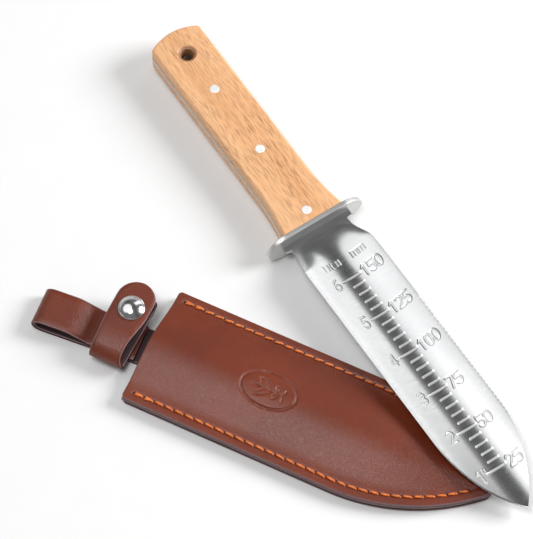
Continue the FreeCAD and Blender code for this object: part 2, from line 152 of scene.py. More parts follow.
def smooth(t):
    """0 below 0, 1 above 1, an S curve between."""
    t = np.clip(t, 0.0, 1.0)
    return t * t * (3.0 - 2.0 * t)


class Shape:
    """Vertices (mm), faces and one painted value per vertex, gathered for one mesh."""

    def __init__(self):
        self.points = []
        self.paint = []
        self.faces = []

    def add_points(self, points, paint):
        start = len(self.points)
        points = np.asarray(points, float).reshape(-1, 3)
        self.points.extend(points.tolist())
        self.paint.extend(np.broadcast_to(paint, (len(points),)).tolist())
        return start

    def grid(self, points, paint=0.0, flip=False, closed=False):
        """A sheet of quads on points[row][column]; closed joins the last column to the first."""
        rows, columns = points.shape[:2]
        paint = np.broadcast_to(paint, (rows, columns)).reshape(-1)
        start = self.add_points(points, paint)
        last = columns if closed else columns - 1
        for i in range(rows - 1):
            for j in range(last):
                k = (j + 1) % columns
                a = start + i * columns + j
                b = start + i * columns + k
                quad = (a, b, b + columns, a + columns)
                self.faces.append(quad[::-1] if flip else quad)
        return np.arange(start, start + rows * columns).reshape(rows, columns)

    def wall(self, one, two, flip=False):
        """Quads between two equally long lines of vertex numbers."""
        for a, b, c, d in zip(one[:-1], one[1:], two[1:], two[:-1]):
            self.faces.append((a, d, c, b) if flip else (a, b, c, d))

    def cap(self, loop, flip=False):
        loop = [int(i) for i in loop]
        self.faces.append(tuple(loop[::-1] if flip else loop))

    def tube(self, rings, paint=0.0):
        """A closed skin over rings of points, capped at both ends."""
        ids = self.grid(np.array(rings), paint, closed=True)
        self.cap(ids[0])
        self.cap(ids[-1], flip=True)


def make_object(name, shape, matrix=None, smooth_angle=40.0):
    """A welded mesh in metres, shaded smooth across edges blunter than the angle."""
    mesh = bpy.data.meshes.new(name)
    faces = [tuple(int(i) for i in face) for face in shape.faces]
    mesh.from_pydata([tuple(point) for point in shape.points], [], faces)
    paint = mesh.attributes.new("paint", "FLOAT", "POINT")
    paint.data.foreach_set("value", np.array(shape.paint, np.float32))
    work = bmesh.new()
    work.from_mesh(mesh)
    bmesh.ops.remove_doubles(work, verts=work.verts, dist=1e-3)
    bmesh.ops.recalc_face_normals(work, faces=work.faces)
    limit = math.radians(smooth_angle)
    for edge in work.edges:
        edge.smooth = len(edge.link_faces) != 2 or edge.calc_face_angle(0.0) < limit
    for face in work.faces:
        face.smooth = True
    work.to_mesh(mesh)
    work.free()
    mesh.transform(Matrix.Scale(MM, 4) @ (matrix or Matrix.Identity(4)))
    thing = bpy.data.objects.new(name, mesh)
    bpy.context.scene.collection.objects.link(thing)
    return thing


def place(thing, body, material, node_name):
    """Give a piece its material and body, and let it stand in for the CAD node."""
    thing.data.materials.clear()
    thing.data.materials.append(material)
    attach(thing, body)
    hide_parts(node_name)


def spread(stops, steps):
    """Values from stop to stop, with the given step in each span."""
    out = [stops[0]]
    for low, high, step in zip(stops[:-1], stops[1:], steps):
        count = max(1, int(round(abs(high - low) / step)))
        out.extend(low + (high - low) * (i + 1) / count for i in range(count))
    return np.array(out)


def plate(xs, across_top, across_low, half_width, top, low, nudge=None, paint=None):
    """A closed plate over a leaf-like outline, with columns at shares of the outline's half width."""
    shape = Shape()
    half = half_width(xs)
    lines = {}
    for key, shares, height in (("top", across_top, top), ("low", across_low, low)):
        x = np.repeat(xs[:, None], len(shares), 1)
        y = half[:, None] * shares[None, :]
        if nudge is not None:
            y = y + nudge(x, shares[None, :] * np.ones_like(x))
        z = height(x, y)
        value = paint(key, x, y) if paint else 0.0
        lines[key] = shape.grid(np.stack([x, y, z], 2), value, flip=key == "low")
    up, down = lines["top"], lines["low"]
    shape.wall(up[:, 0], down[:, 0], flip=True)
    shape.wall(up[:, -1], down[:, -1])
    shape.cap(list(up[0]) + list(down[0][::-1]), flip=True)
    shape.cap(list(up[-1]) + list(down[-1][::-1]))
    return shape


def segment_distance(x, y, a, b):
    ax, ay = a
    dx, dy = b[0] - ax, b[1] - ay
    t = np.clip(((x - ax) * dx + (y - ay) * dy) / (dx * dx + dy * dy), 0, 1)
    return np.hypot(x - ax - t * dx, y - ay - t * dy)


def strokes_mask(x, y, lines, stroke, soft=0.4):
    """1 on the strokes, 0 off them, with soft walls."""
    best = np.full(x.shape, 1e9)
    for line in lines:
        low = np.min(line, 0) - 3
        high = np.max(line, 0) + 3
        near = (x > low[0]) & (x < high[0]) & (y > low[1]) & (y < high[1])
        if not near.any():
            continue
        gap = np.full(int(near.sum()), 1e9)
        for a, b in zip(line[:-1], line[1:]):
            gap = np.minimum(gap, segment_distance(x[near], y[near], a, b))
        best[near] = np.minimum(best[near], gap)
    return smooth((stroke / 2 + soft / 2 - best) / soft)


def rounded_edge(gap, radius):
    """How far a rounded edge drops, at a distance in from the outline."""
    gap = np.minimum(gap, radius)
    return radius - np.sqrt(np.maximum(radius ** 2 - (radius - gap) ** 2, 0))


def arc(cx, cy, rx, ry, start, end, count):
    """Points on an ellipse from start to end, in degrees."""
    turns = np.radians(np.linspace(start, end, count))
    return [(cx + rx * math.cos(t), cy + ry * math.sin(t)) for t in turns]


def through(points, count):
    """A smooth line through points (Catmull-Rom), sampled evenly and then evened out a little."""
    points = np.array(points, float)
    padded = np.vstack([2 * points[0] - points[1], points, 2 * points[-1] - points[-2]])
    line = []
    for i in range(1, len(padded) - 2):
        p0, p1, p2, p3 = padded[i - 1:i + 3]
        for t in np.linspace(0, 1, 24, endpoint=False):
            line.append(0.5 * (2 * p1 + (p2 - p0) * t + (2 * p0 - 5 * p1 + 4 * p2 - p3) * t ** 2
                               + (3 * p1 - p0 - 3 * p2 + p3) * t ** 3))
    line.append(points[-1])
    line = np.array(line)
    run = np.concatenate([[0], np.cumsum(np.linalg.norm(np.diff(line, axis=0), axis=1))])
    wanted = np.linspace(0, run[-1], count)
    even = np.stack([np.interp(wanted, run, line[:, k]) for k in range(line.shape[1])], 1)
    for _ in range(3):
        even[1:-1] = (even[:-2] + 2 * even[1:-1] + even[2:]) / 4
    return even


# ---- materials ----

def new_material(name):
    material = bpy.data.materials.new(name)
    material.use_nodes = True
    tree = material.node_tree
    tree.nodes.clear()
    shader = node(tree, "BsdfPrincipled")
    node(tree, "OutputMaterial", {"Surface": shader.outputs[0]})
    return material, tree, shader


def feed(socket, value):
    """Link an input to another node's output, or give it a plain value or colour."""
    if isinstance(value, bpy.types.NodeSocket):
        socket.id_data.links.new(value, socket)
    elif socket.type == "RGBA":
        socket.default_value = (*value, 1.0)
    else:
        socket.default_value = value


def node(tree, kind, inputs=None, **settings):
    made = tree.nodes.new("ShaderNode" + kind)
    for key, value in settings.items():
        setattr(made, key, value)
    for key, value in (inputs or {}).items():
        feed(made.inputs[key], value)
    return made


def painted(tree):
    """The value painted on the mesh."""
    return node(tree, "Attribute", attribute_name="paint").outputs["Fac"]


def math_node(tree, operation, a, b=0.0, clamp=False):
    return node(tree, "Math", {0: a, 1: b}, operation=operation, use_clamp=clamp).outputs[0]


def ramp(tree, value, low, high, out_low=0.0, out_high=1.0):
    """An S curve from out_low where the value is low to out_high where it is high."""
    made = node(tree, "MapRange", {"Value": value, "From Min": low, "From Max": high,
                                   "To Min": out_low, "To Max": out_high})
    made.interpolation_type = "SMOOTHSTEP"
    return made.outputs["Result"]


def mix_colour(tree, share, one, two):
    """Colour one where share is 0 and colour two where it is 1."""
    return node(tree, "Mix", {0: share, 6: one, 7: two}, data_type="RGBA").outputs[2]


def coordinates(tree, scale=(1, 1, 1), turn=0.0):
    """Object coordinates turned about the upright axis and then stretched by scale."""
    where = node(tree, "TexCoord").outputs["Object"]
    inverse = tuple(1.0 / s for s in scale)
    return node(tree, "Mapping", {"Vector": where, "Scale": inverse, "Rotation": (0, 0, turn)},
                vector_type="TEXTURE").outputs[0]


def noise(tree, where, scale, detail, roughness=0.55):
    return node(tree, "TexNoise", {"Vector": where, "Scale": scale, "Detail": detail,
                                   "Roughness": roughness}).outputs["Fac"]


def bump(tree, height, strength, distance):
    made = node(tree, "Bump", {"Height": height, "Strength": strength, "Distance": distance})
    return made.outputs[0]


def finish(shader, **values):
    """Feed the shader's inputs, named with underscores."""
    for key, value in values.items():
        feed(shader.inputs[key.replace("_", " ")], value)


def steel_material(name, colour, roughness, brush_turn, stamped=False):
    """Satin steel with fine brushing along one direction. On the blade, paint marks the stamping:
    millimetre figures from 0 to 1, whose groove walls get painted shade, ticks and inch figures from 0 to
    -1."""
    material, tree, shader = new_material(name)
    where = coordinates(tree, (90.0, 2600.0, 900.0), brush_turn)
    brushing = noise(tree, where, 1.0, 2.0)
    cloud = noise(tree, coordinates(tree), 38.0, 4.0)
    shade = mix_colour(tree, ramp(tree, cloud, 0.35, 0.7), [c * 0.93 for c in colour], colour)
    brushed = [c * 0.88 for c in colour]
    shade = mix_colour(tree, ramp(tree, brushing, 0.3, 0.7, 0.0, 0.25), shade, brushed)
    rough = ramp(tree, brushing, 0.25, 0.75, roughness - 0.03, roughness + 0.04)
    if stamped:
        mark = painted(tree)
        off_wall = math_node(tree, "ABSOLUTE", math_node(tree, "SUBTRACT", mark, 0.5))
        # painted shade: the walls of the millimetre figures are darkened to draw their outlines
        painted_wall_shade = ramp(tree, off_wall, 0.22, 0.48, 0.55, 0.0)
        shade = mix_colour(tree, painted_wall_shade, shade, (0.11, 0.11, 0.115))
        depth = math_node(tree, "ABSOLUTE", mark)
        rough = math_node(tree, "ADD", rough, math_node(tree, "MULTIPLY", depth, 0.26))
    finish(shader, Base_Color=shade, Roughness=rough, Metallic=1.0,
           Normal=bump(tree, brushing, 0.007, 0.0002))
    return material


def wood_material():
    """Oiled beech: pale peach tan, soft growth bands and many short dark flecks along the grain.
    Paint marks the wall of the lanyard hole (1), which gets painted shade."""
    material, tree, shader = new_material("beech")
    band = noise(tree, coordinates(tree, (6, 70, 70), KNIFE_YAW), 1.0, 3.0)
    streak = noise(tree, coordinates(tree, (30, 700, 700), KNIFE_YAW), 1.0, 4.0, 0.65)
    cell_space = coordinates(tree, (110, 4300, 3600), KNIFE_YAW)
    cells = node(tree, "TexVoronoi", {"Vector": cell_space, "Scale": 1.0})
    fleck = ramp(tree, cells.outputs["Distance"], 0.38, 0.26)
    patch = noise(tree, coordinates(tree, (25, 60, 60), KNIFE_YAW), 1.0, 2.0)
    fleck = math_node(tree, "MULTIPLY", fleck, ramp(tree, patch, 0.35, 0.60, 0.50, 1.0))
    shade = mix_colour(tree, ramp(tree, band, 0.3, 0.7), (0.66, 0.345, 0.160), (0.77, 0.450, 0.235))
    shade = mix_colour(tree, ramp(tree, streak, 0.42, 0.75, 0.0, 0.40), shade, (0.53, 0.250, 0.105))
    shade = mix_colour(tree, fleck, shade, (0.17, 0.060, 0.022))
    # painted shade: the lanyard hole's wall is darkened where shade falls in the hole
    hole_shade = ramp(tree, painted(tree), 0.3, 0.9, 0.0, 0.7)
    shade = mix_colour(tree, hole_shade, shade, (0.16, 0.065, 0.030))
    height = math_node(tree, "SUBTRACT", streak, fleck)
    finish(shader, Base_Color=shade, Roughness=ramp(tree, streak, 0.3, 0.7, 0.36, 0.48),
           Normal=bump(tree, height, 0.25, 0.00015))
    return material


def leather_material():
    """Smooth brown leather; paint marks its cut edges (0.45), flesh side (1) and awl holes (-1), which
    get painted shade.
    """
    material, tree, shader = new_material("leather")
    where = coordinates(tree)
    cloud = noise(tree, where, 26.0, 4.0)
    fine = noise(tree, where, 1500.0, 2.0)
    cells = node(tree, "TexVoronoi", {"Vector": where, "Scale": 1250.0}, feature="DISTANCE_TO_EDGE")
    crease = ramp(tree, cells.outputs["Distance"], 0.0, 0.16)
    deep, warm = (0.117, 0.0150, 0.0014), (0.160, 0.0220, 0.0024)
    shade = mix_colour(tree, ramp(tree, cloud, 0.3, 0.72), deep, warm)
    shade = mix_colour(tree, ramp(tree, fine, 0.35, 0.7, 0.0, 0.30), shade, (0.088, 0.0130, 0.0050))
    mark = painted(tree)
    fibre = noise(tree, where, 900.0, 4.0, 0.7)
    edge = mix_colour(tree, fibre, (0.085, 0.040, 0.042), (0.30, 0.18, 0.185))
    flesh = mix_colour(tree, fibre, (0.020, 0.008, 0.010), (0.055, 0.024, 0.028))
    shade = mix_colour(tree, ramp(tree, mark, 0.05, 0.4), shade, edge)
    shade = mix_colour(tree, ramp(tree, mark, 0.6, 0.95), shade, flesh)
    # painted shade: near black around the awl holes
    shade = mix_colour(tree, ramp(tree, mark, -0.1, -0.7), shade, (0.010, 0.003, 0.002))
    rough = ramp(tree, fine, 0.3, 0.7, 0.30, 0.38)
    dull = math_node(tree, "MULTIPLY", math_node(tree, "ABSOLUTE", mark), 0.4)
    rough = math_node(tree, "ADD", rough, dull, clamp=True)
    height = math_node(tree, "ADD", math_node(tree, "MULTIPLY", crease, 0.6), fine)
    finish(shader, Base_Color=shade, Roughness=rough, Normal=bump(tree, height, 0.45, 0.00015))
    return material


def thread_material():
    """Waxed orange thread with a visible twist."""
    material, tree, shader = new_material("thread")
    where = coordinates(tree)
    fibre = noise(tree, where, 2600.0, 3.0)
    cloud = noise(tree, where, 300.0, 2.0)
    shade = mix_colour(tree, ramp(tree, fibre, 0.3, 0.7), (0.55, 0.105, 0.016), (0.85, 0.24, 0.045))
    shade = mix_colour(tree, ramp(tree, cloud, 0.35, 0.65, 0.0, 0.4), shade, (0.38, 0.070, 0.012))
    finish(shader, Base_Color=shade, Roughness=0.5, Normal=bump(tree, fibre, 0.4, 0.00015))
    return material


def nickel_material(name, roughness, tone):
    """Plated metal of one grey tone, with a faint haze in its tone and polish."""
    material, tree, shader = new_material(name)
    haze = noise(tree, coordinates(tree), 420.0, 3.0)
    shade = mix_colour(tree, haze, (tone * 0.85,) * 3, (tone,) * 3)
    rough = ramp(tree, haze, 0.3, 0.7, roughness, roughness + 0.06)
    finish(shader, Base_Color=shade, Roughness=rough, Metallic=1.0)
    return material


BRUSH_TURN = KNIFE_YAW + math.pi / 2
BLADE_STEEL = steel_material("blade_steel", (0.62, 0.625, 0.63), 0.19, BRUSH_TURN, stamped=True)
GUARD_STEEL = steel_material("guard_steel", (0.68, 0.68, 0.67), 0.36, BRUSH_TURN)
PIN_METAL = nickel_material("pin_metal", 0.55, 0.95)
NICKEL = nickel_material("nickel", 0.13, 0.70)
BEECH = wood_material()
LEATHER_SKIN = leather_material()
THREAD = thread_material()


# ---- blade ----

def blade_outline(x):
    """Half width: full at the collar, waisted at the neck, then full up to the curve of the tip."""
    into = np.clip(x - (BLADE_LENGTH - TIP_TAPER), 0, TIP_TAPER)
    radius = (TIP_TAPER ** 2 + BLADE_HALF_WIDTH ** 2) / (2 * BLADE_HALF_WIDTH)
    half = BLADE_HALF_WIDTH - radius + np.sqrt(radius ** 2 - into ** 2)
    past_collar = smooth((x - COLLAR_LENGTH) / COLLAR_STEP)
    neck = past_collar * (1 - smooth((x - SHOULDER_START) / SHOULDER_RUN))
    return np.maximum(half - neck * (BLADE_HALF_WIDTH - NECK_HALF_WIDTH), TIP_STUB)


def trough(x, y):
    """Height of the blade's curved middle surface, flat at the guard."""
    off_middle = np.minimum(np.abs(y), BLADE_HALF_WIDTH + 0.5)
    rise = TROUGH_RADIUS - np.sqrt(TROUGH_RADIUS ** 2 - off_middle ** 2)
    return rise * smooth((x - TROUGH_START) / TROUGH_RUN)


def ground(x):
    """How far the sharpening has begun: 0 at the neck, 1 along the blade."""
    return smooth((x - BEVEL_START) / BEVEL_RUN)


def tooth_nudge(x, share):
    """Moves the serrated edge inwards at each notch, leaving the middle of the blade alone."""
    from_tip = BLADE_LENGTH - x
    inside = (from_tip > TEETH_FROM_TIP[0]) & (from_tip < TEETH_FROM_TIP[1])
    phase = ((from_tip - TEETH_FROM_TIP[0]) / TOOTH_PITCH) % 1.0
    notch = 1 - np.abs(2 * phase - 1) ** 0.8
    return -TOOTH_DEPTH * notch * inside * smooth((share - 0.94) / 0.06)


def glyph(name):
    """Strokes of one character from its lower left corner; figures fill the width and height."""
    width, height = 3.0, 6.4
    middle = width / 2
    shapes = {
        "0": [arc(middle, height / 2, middle, height / 2, 0, 360, 25)],
        "1": [[(0.3, height - 1.5), (middle, height), (middle, 0)]],
        "2": [arc(middle, height - middle, middle, middle, 165, -35, 12) + [(0, 0), (width, 0)]],
        "3": [arc(middle, height - 1.55, 1.45, 1.55, 150, -90, 12),
              arc(middle, 1.65, 1.5, 1.65, 90, -150, 12)],
        "4": [[(width * 0.72, 0), (width * 0.72, height), (0, 1.9), (width, 1.9)]],
        "5": [[(width, height), (0.35, height), (0.15, height * 0.56)]
              + arc(middle - 0.1, 1.95, 1.6, 1.95, 125, -150, 14)],
        "6": [arc(middle, 1.75, 1.5, 1.75, 0, 360, 19),
              arc(width + 0.3, 2.2, 3.25, 4.2, 180, 105, 9)],
        "7": [[(0, height), (width, height), (width * 0.35, 0)]],
        '"': [[(0.4, height), (0.4, height - 1.8)], [(1.7, height), (1.7, height - 1.8)]],
        "m": [[(0, 0), (0, 3.4)], arc(0.8, 2.5, 0.8, 0.9, 180, 0, 7) + [(1.6, 0)],
              arc(2.4, 2.5, 0.8, 0.9, 180, 0, 7) + [(3.2, 0)]],
        "I": [[(0.6, 0), (0.6, 3.4)]],
        "N": [[(0, 0), (0, 3.4), (1.5, 0), (1.5, 3.4)]],
        "C": [arc(0.95, 1.7, 0.9, 1.7, 55, 305, 12)],
        "H": [[(0, 0), (0, 3.4)], [(1.5, 0), (1.5, 3.4)], [(0, 1.7), (1.5, 1.7)]],
    }
    return shapes[name]


def written(text, x, y, advance):
    """Strokes of a word on the blade: it reads towards the serrated edge, its top towards the handle."""
    lines = []
    for place_in_word, letter in enumerate(text):
        start = y + place_in_word * advance
        for line in glyph(letter):
            lines.append([(x - up, start + along) for along, up in line])
    return lines


def ruler_ticks():
    """A tick every 5 mm from the tip, longer at each numbered mark."""
    ticks = []
    for mark in range(RULER_MARKS.start, RULER_MARKS.stop, 5):
        x = BLADE_LENGTH - mark
        low, high = LONG_TICK if mark in RULER_MARKS else SHORT_TICK
        ticks.append([(x, low), (x, high)])
    return ticks


def ruler_figures(texts, y, advance):
    """One text beside each long tick."""
    figures = []
    for text, mark in zip(texts, RULER_MARKS):
        figures += written(text, BLADE_LENGTH - mark + FIGURE_DROP, y, advance)
    return figures


def blade_stamp(x, y):
    """Share of the full depth, and the same painted: clean marks negative, positive for marks whose walls
    get painted shade.
    """
    word_x = BLADE_LENGTH - WORD_FROM_TIP
    tick = strokes_mask(x, y, ruler_ticks(), TICK_STROKE, 0.3)
    inch = strokes_mask(x, y, ruler_figures(('1"', *"23456"), *INCH_FIGURES), FIGURE_STROKE)
    inch_word = strokes_mask(x, y, written("INCH", word_x, *INCH_WORD), WORD_STROKE, 0.3)
    clean = np.maximum(tick, 0.8 * np.maximum(inch, inch_word))
    figure = strokes_mask(x, y, ruler_figures(map(str, RULER_MARKS), *MM_FIGURES), FIGURE_STROKE)
    word = strokes_mask(x, y, written("mm", word_x, *MM_WORD), WORD_STROKE, 0.3)
    # these figures get painted shade on their groove walls
    dark = np.maximum(figure, word)
    return np.maximum(clean, dark), np.where(clean > dark, -clean, dark)


def blade_shape():
    """The blade from the guard to the tip: stamped hollow side up, ground edges below."""
    tip = BLADE_LENGTH - TIP_STUB
    xs = spread([0, COLLAR_LENGTH, 3.4, 16, 160, 178, tip], [0.65, 0.16, 0.6, 0.26, 0.5, 0.22])
    inner = spread([-1, -0.985, -0.94, -0.60, 0.96, 1.0], [0.005, 0.015, 0.03, 0.0138, 0.008])
    outer = np.array([-1, -0.92, -0.85, -0.6, -0.4, -0.2, 0, 0.2, 0.4, 0.6, 0.85, 0.92, 1.0])

    def top(x, y):
        from_plain_edge = blade_outline(x) + y
        glint = 0.16 * smooth((0.8 - from_plain_edge) / 0.8) * ground(x)
        return trough(x, y) + STEEL / 2 - STAMP_DEPTH * blade_stamp(x, y)[0] - glint

    def low(x, y):
        half = blade_outline(x)
        width = np.minimum(BEVEL, 0.45 * half)
        bevel = np.clip(1 - (half - np.abs(y)) / width, 0, 1) * ground(x)
        return trough(x, y) - STEEL / 2 + bevel * BEVEL_DEPTH

    def paint(key, x, y):
        return blade_stamp(x, y)[1] if key == "top" else 0.0

    return plate(xs, inner, outer, blade_outline, top, low, tooth_nudge, paint)


# ---- handle ----

def handle_side():
    """One side of the handle's outline, from the guard to the middle of the butt."""
    xs = np.linspace(-GUARD_THICKNESS - PLAY, -FLARE_LENGTH, 24)
    run = FLARE_LENGTH - GUARD_THICKNESS
    line = [(x, HANDLE_HALF_WIDTH + HANDLE_FLARE * ((x + FLARE_LENGTH) / run) ** 2) for x in xs]
    middle = BUTT_RADIUS - HANDLE_LENGTH
    corner_y = HANDLE_HALF_WIDTH - BUTT_CORNER
    corner_x = middle - math.sqrt((BUTT_RADIUS - BUTT_CORNER) ** 2 - corner_y ** 2)
    turn = math.degrees(math.atan2(corner_y, corner_x - middle))
    line += [(x, HANDLE_HALF_WIDTH) for x in np.linspace(-FLARE_LENGTH - 1, corner_x, 30)]
    line += arc(corner_x, corner_y, BUTT_CORNER, BUTT_CORNER, 90, turn, 14)[1:]
    line += arc(middle, 0, BUTT_RADIUS, BUTT_RADIUS, turn, 180, 24)[1:]
    return np.array(line)


def handle_half(x, trim=0.0):
    """Half width of the handle's outline, pulled in by trim."""
    side = handle_side()
    order = np.argsort(side[:, 0])
    return np.maximum(np.interp(x, side[order, 0], side[order, 1]) - trim, 0.05)


def handle_edge_distance(x, y):
    side = handle_side()
    gap = np.full(x.shape, 1e9)
    for a, b in zip(side[:-1], side[1:]):
        gap = np.minimum(gap, segment_distance(x, np.abs(y), a, b))
    return gap


def handle_stations():
    butt = -HANDLE_LENGTH
    stops = [-GUARD_THICKNESS - PLAY, -FLARE_LENGTH, butt + 10, butt + 5, butt + 0.6, butt + PLAY]
    return spread(stops, [0.9, 1.8, 0.7, 0.22, 0.08])


def scale_shape(side):
    """One wooden scale: flat against the tang, its outer rim rounded and its face slightly crowned."""
    face = HANDLE_THICKNESS / 2

    def outer(x, y):
        drop = rounded_edge(handle_edge_distance(x, y), SCALE_ROUNDING)
        crown = SCALE_CROWN * (1 - np.clip(np.abs(y) / HANDLE_HALF_WIDTH, 0, 1) ** 2.5)
        return side * (face - SCALE_CROWN + crown - drop)

    def inner(x, y):
        gap = handle_edge_distance(x, y)
        return side * (STEEL / 2 + PLAY + 0.18 * smooth((0.25 - gap) / 0.25))

    near = 1 - np.array([0, 0.0012, 0.005, 0.012, 0.022, 0.036, 0.055, 0.078, 0.105, 0.135, 0.17, 0.21])
    columns = np.concatenate([-near, np.linspace(-0.7, 0.7, 15), near[::-1]])
    flat = np.array([-1, -0.985, -0.5, 0, 0.5, 0.985, 1])
    if side > 0:
        return plate(handle_stations(), columns, flat, handle_half, outer, inner)
    return plate(handle_stations(), flat, columns, handle_half, inner, outer)


def tang_shape():
    """The flat steel between the scales, wide enough to show as a line along the handle."""
    in_guard = [-GUARD_THICKNESS - 0.01, -GUARD_THICKNESS, 0.5]
    xs = np.concatenate([handle_stations()[::-1][:-2], in_guard])
    columns = np.linspace(-1, 1, 9)

    def half_width(x):
        return np.where(x > -GUARD_THICKNESS - 0.015, HANDLE_HALF_WIDTH, handle_half(x, -0.08))

    def level(z):
        return lambda x, y: np.full(x.shape, z)

    return plate(xs, columns, columns, half_width, level(STEEL / 2 - 0.01), level(0.01 - STEEL / 2))


def lathe(shape, profile, centre, count):
    """Spin a profile of (radius, height) about an upright axis and close its two ends."""
    angles = np.linspace(0, 2 * math.pi, count, endpoint=False)
    shape.tube([[(centre[0] + r * math.cos(a), centre[1] + r * math.sin(a), centre[2] + z)
                 for a in angles] for r, z in profile])


def lanyard_cutter():
    """The hole's shape: a straight bore that flares out at both faces of the handle."""
    shape = Shape()
    bore = LANYARD_HOLE_RADIUS
    face = HANDLE_THICKNESS / 2
    flare = [(bore + 3.6, face + 1.5), (bore + 1.9, face - 0.1), (bore + 1.1, face - 0.9),
             (bore + 0.3, face - 1.3), (bore, face - 2.0)]
    profile = [(radius, -z) for radius, z in flare] + flare[::-1]
    lathe(shape, profile, (LANYARD_HOLE_X, 0, 0), 72)
    return make_object("lanyard_cutter", shape, KNIFE_MATRIX)


def cut_hole(thing, cutter):
    """Subtract the cutter and keep the result as plain mesh."""
    cut = thing.modifiers.new("hole", "BOOLEAN")
    cut.operation = "DIFFERENCE"
    cut.solver = "EXACT"
    cut.object = cutter
    bpy.context.view_layer.update()
    evaluated = thing.evaluated_get(bpy.context.evaluated_depsgraph_get())
    mesh = bpy.data.meshes.new_from_object(evaluated)
    thing.modifiers.clear()
    thing.data = mesh
    for polygon in mesh.polygons:
        polygon.use_smooth = True
    mesh.set_sharp_from_angle(angle=math.radians(38))


def paint_hole_shade(thing):
    """Paint the wall of the lanyard hole, which the wood material darkens as painted shade."""
    centre = Matrix.Scale(MM, 4) @ KNIFE_MATRIX @ Vector((LANYARD_HOLE_X, 0, 0))
    reach = (LANYARD_HOLE_RADIUS + 1.5) * MM
    # marks the hole's wall for painted shade
    hole_shade = [float((vertex.co - centre).xy.length < reach) for vertex in thing.data.vertices]
    paint = thing.data.attributes.get("paint") or thing.data.attributes.new("paint", "FLOAT", "POINT")
    paint.data.foreach_set("value", hole_shade)


def join(main, other):
    """Move the other mesh into the main one."""
    work = bmesh.new()
    work.from_mesh(main.data)
    work.from_mesh(other.data)
    work.to_mesh(main.data)
    work.free()
    bpy.data.objects.remove(other)


def build_knife():
    cutter = lanyard_cutter()
    blade = make_object("blade_and_tang", blade_shape(), KNIFE_MATRIX, 50)
    tang = make_object("tang", tang_shape(), KNIFE_MATRIX)
    cut_hole(tang, cutter)
    join(blade, tang)
    place(blade, "knife", BLADE_STEEL, "blade")
    for name, node_name, side in (("scale_upper", "scale_front", 1), ("scale_lower", "scale_back", -1)):
        scale = make_object(name, scale_shape(side), KNIFE_MATRIX, 45)
        cut_hole(scale, cutter)
        paint_hole_shade(scale)
        place(scale, "knife", BEECH, node_name)
    bpy.data.objects.remove(cutter)


# ---- sheath ----

def sheath_radius():
    """Radius of the two arcs that meet at the sheath's tip."""
    run = SHEATH_LENGTH - SHEATH_STRAIGHT
    return (run ** 2 + SHEATH_HALF_WIDTH ** 2) / (2 * SHEATH_HALF_WIDTH)


def sheath_half(x, inset=0.0):
    """Half width of the outline pulled in by inset, with the tip still pointed."""
    radius = sheath_radius()
    into = np.clip(x - SHEATH_STRAIGHT, 0, None)
    return np.sqrt(np.maximum((radius - inset) ** 2 - into ** 2, 0)) + SHEATH_HALF_WIDTH - radius


def sheath_tip(inset):
    """Where the two arcs meet once they are pulled in by inset."""
    radius = sheath_radius()
    return SHEATH_STRAIGHT + math.sqrt((radius - inset) ** 2 - (radius - SHEATH_HALF_WIDTH) ** 2)


TIP_CENTRE = sheath_tip(TIP_ROUNDING)
TIP_END = TIP_CENTRE + TIP_ROUNDING


def rounded_half(x):
    """The outline with its tip rounded, and its mouth corners too."""
    radius = sheath_radius()
    lean = (TIP_CENTRE - SHEATH_STRAIGHT) / (radius - TIP_ROUNDING)
    switch = TIP_CENTRE + TIP_ROUNDING * lean
    circle = np.sqrt(np.maximum(TIP_ROUNDING ** 2 - (x - TIP_CENTRE) ** 2, 0))
    half = np.where(x > switch, circle, sheath_half(x))
    near_mouth = np.clip(MOUTH_CORNER - x, 0, MOUTH_CORNER)
    half = half - (MOUTH_CORNER - np.sqrt(MOUTH_CORNER ** 2 - near_mouth ** 2))
    return np.maximum(half, 0.05)


def edge_distance(x, y, mouth=True):
    """Distance in from the sheath's outline, counting its mouth edge or only its sewn sides."""
    radius = sheath_radius()
    sides = SHEATH_HALF_WIDTH - np.abs(y)
    curved = radius - np.hypot(x - SHEATH_STRAIGHT, np.abs(y) - SHEATH_HALF_WIDTH + radius)
    gap = np.where(x > SHEATH_STRAIGHT, curved, sides)
    tip = TIP_END - TIP_ROUNDING + np.sqrt(np.maximum(TIP_ROUNDING ** 2 - y ** 2, 0)) - x
    gap = np.where((x > TIP_CENTRE) & (np.abs(y) < TIP_ROUNDING), np.minimum(gap, tip), gap)
    return np.maximum(np.minimum(gap, x) if mouth else gap, 0)


def bulge(x, y):
    """How far the front panel stands up to make room for the blade."""
    wide = np.maximum(sheath_half(x, BULGE_INSET), 0.5)
    full = SHEATH_HALF_WIDTH - BULGE_INSET
    across = np.minimum(np.abs(y) / wide, 1)
    return BULGE * (1 - across ** 2) ** 2 * (wide / full) ** 1.1


def seam_spots(side):
    """Middles and directions of the stitches along one edge."""
    radius = sheath_radius() - SEAM_INSET
    half = SHEATH_HALF_WIDTH - SEAM_INSET
    straight = SHEATH_STRAIGHT - SEAM_START
    sweep = math.asin((sheath_tip(SEAM_INSET) - SHEATH_STRAIGHT) / radius)
    count = int((straight + radius * sweep - 2.0) / STITCH_PITCH)
    for i in range(count):
        run = (i + 0.5) * STITCH_PITCH
        if run <= straight:
            yield np.array([SEAM_START + run, side * half]), np.array([1.0, 0.0])
        else:
            turn = (run - straight) / radius
            x = SHEATH_STRAIGHT + radius * math.sin(turn)
            y = half - radius * (1 - math.cos(turn))
            yield np.array([x, side * y]), np.array([math.cos(turn), -side * math.sin(turn)])


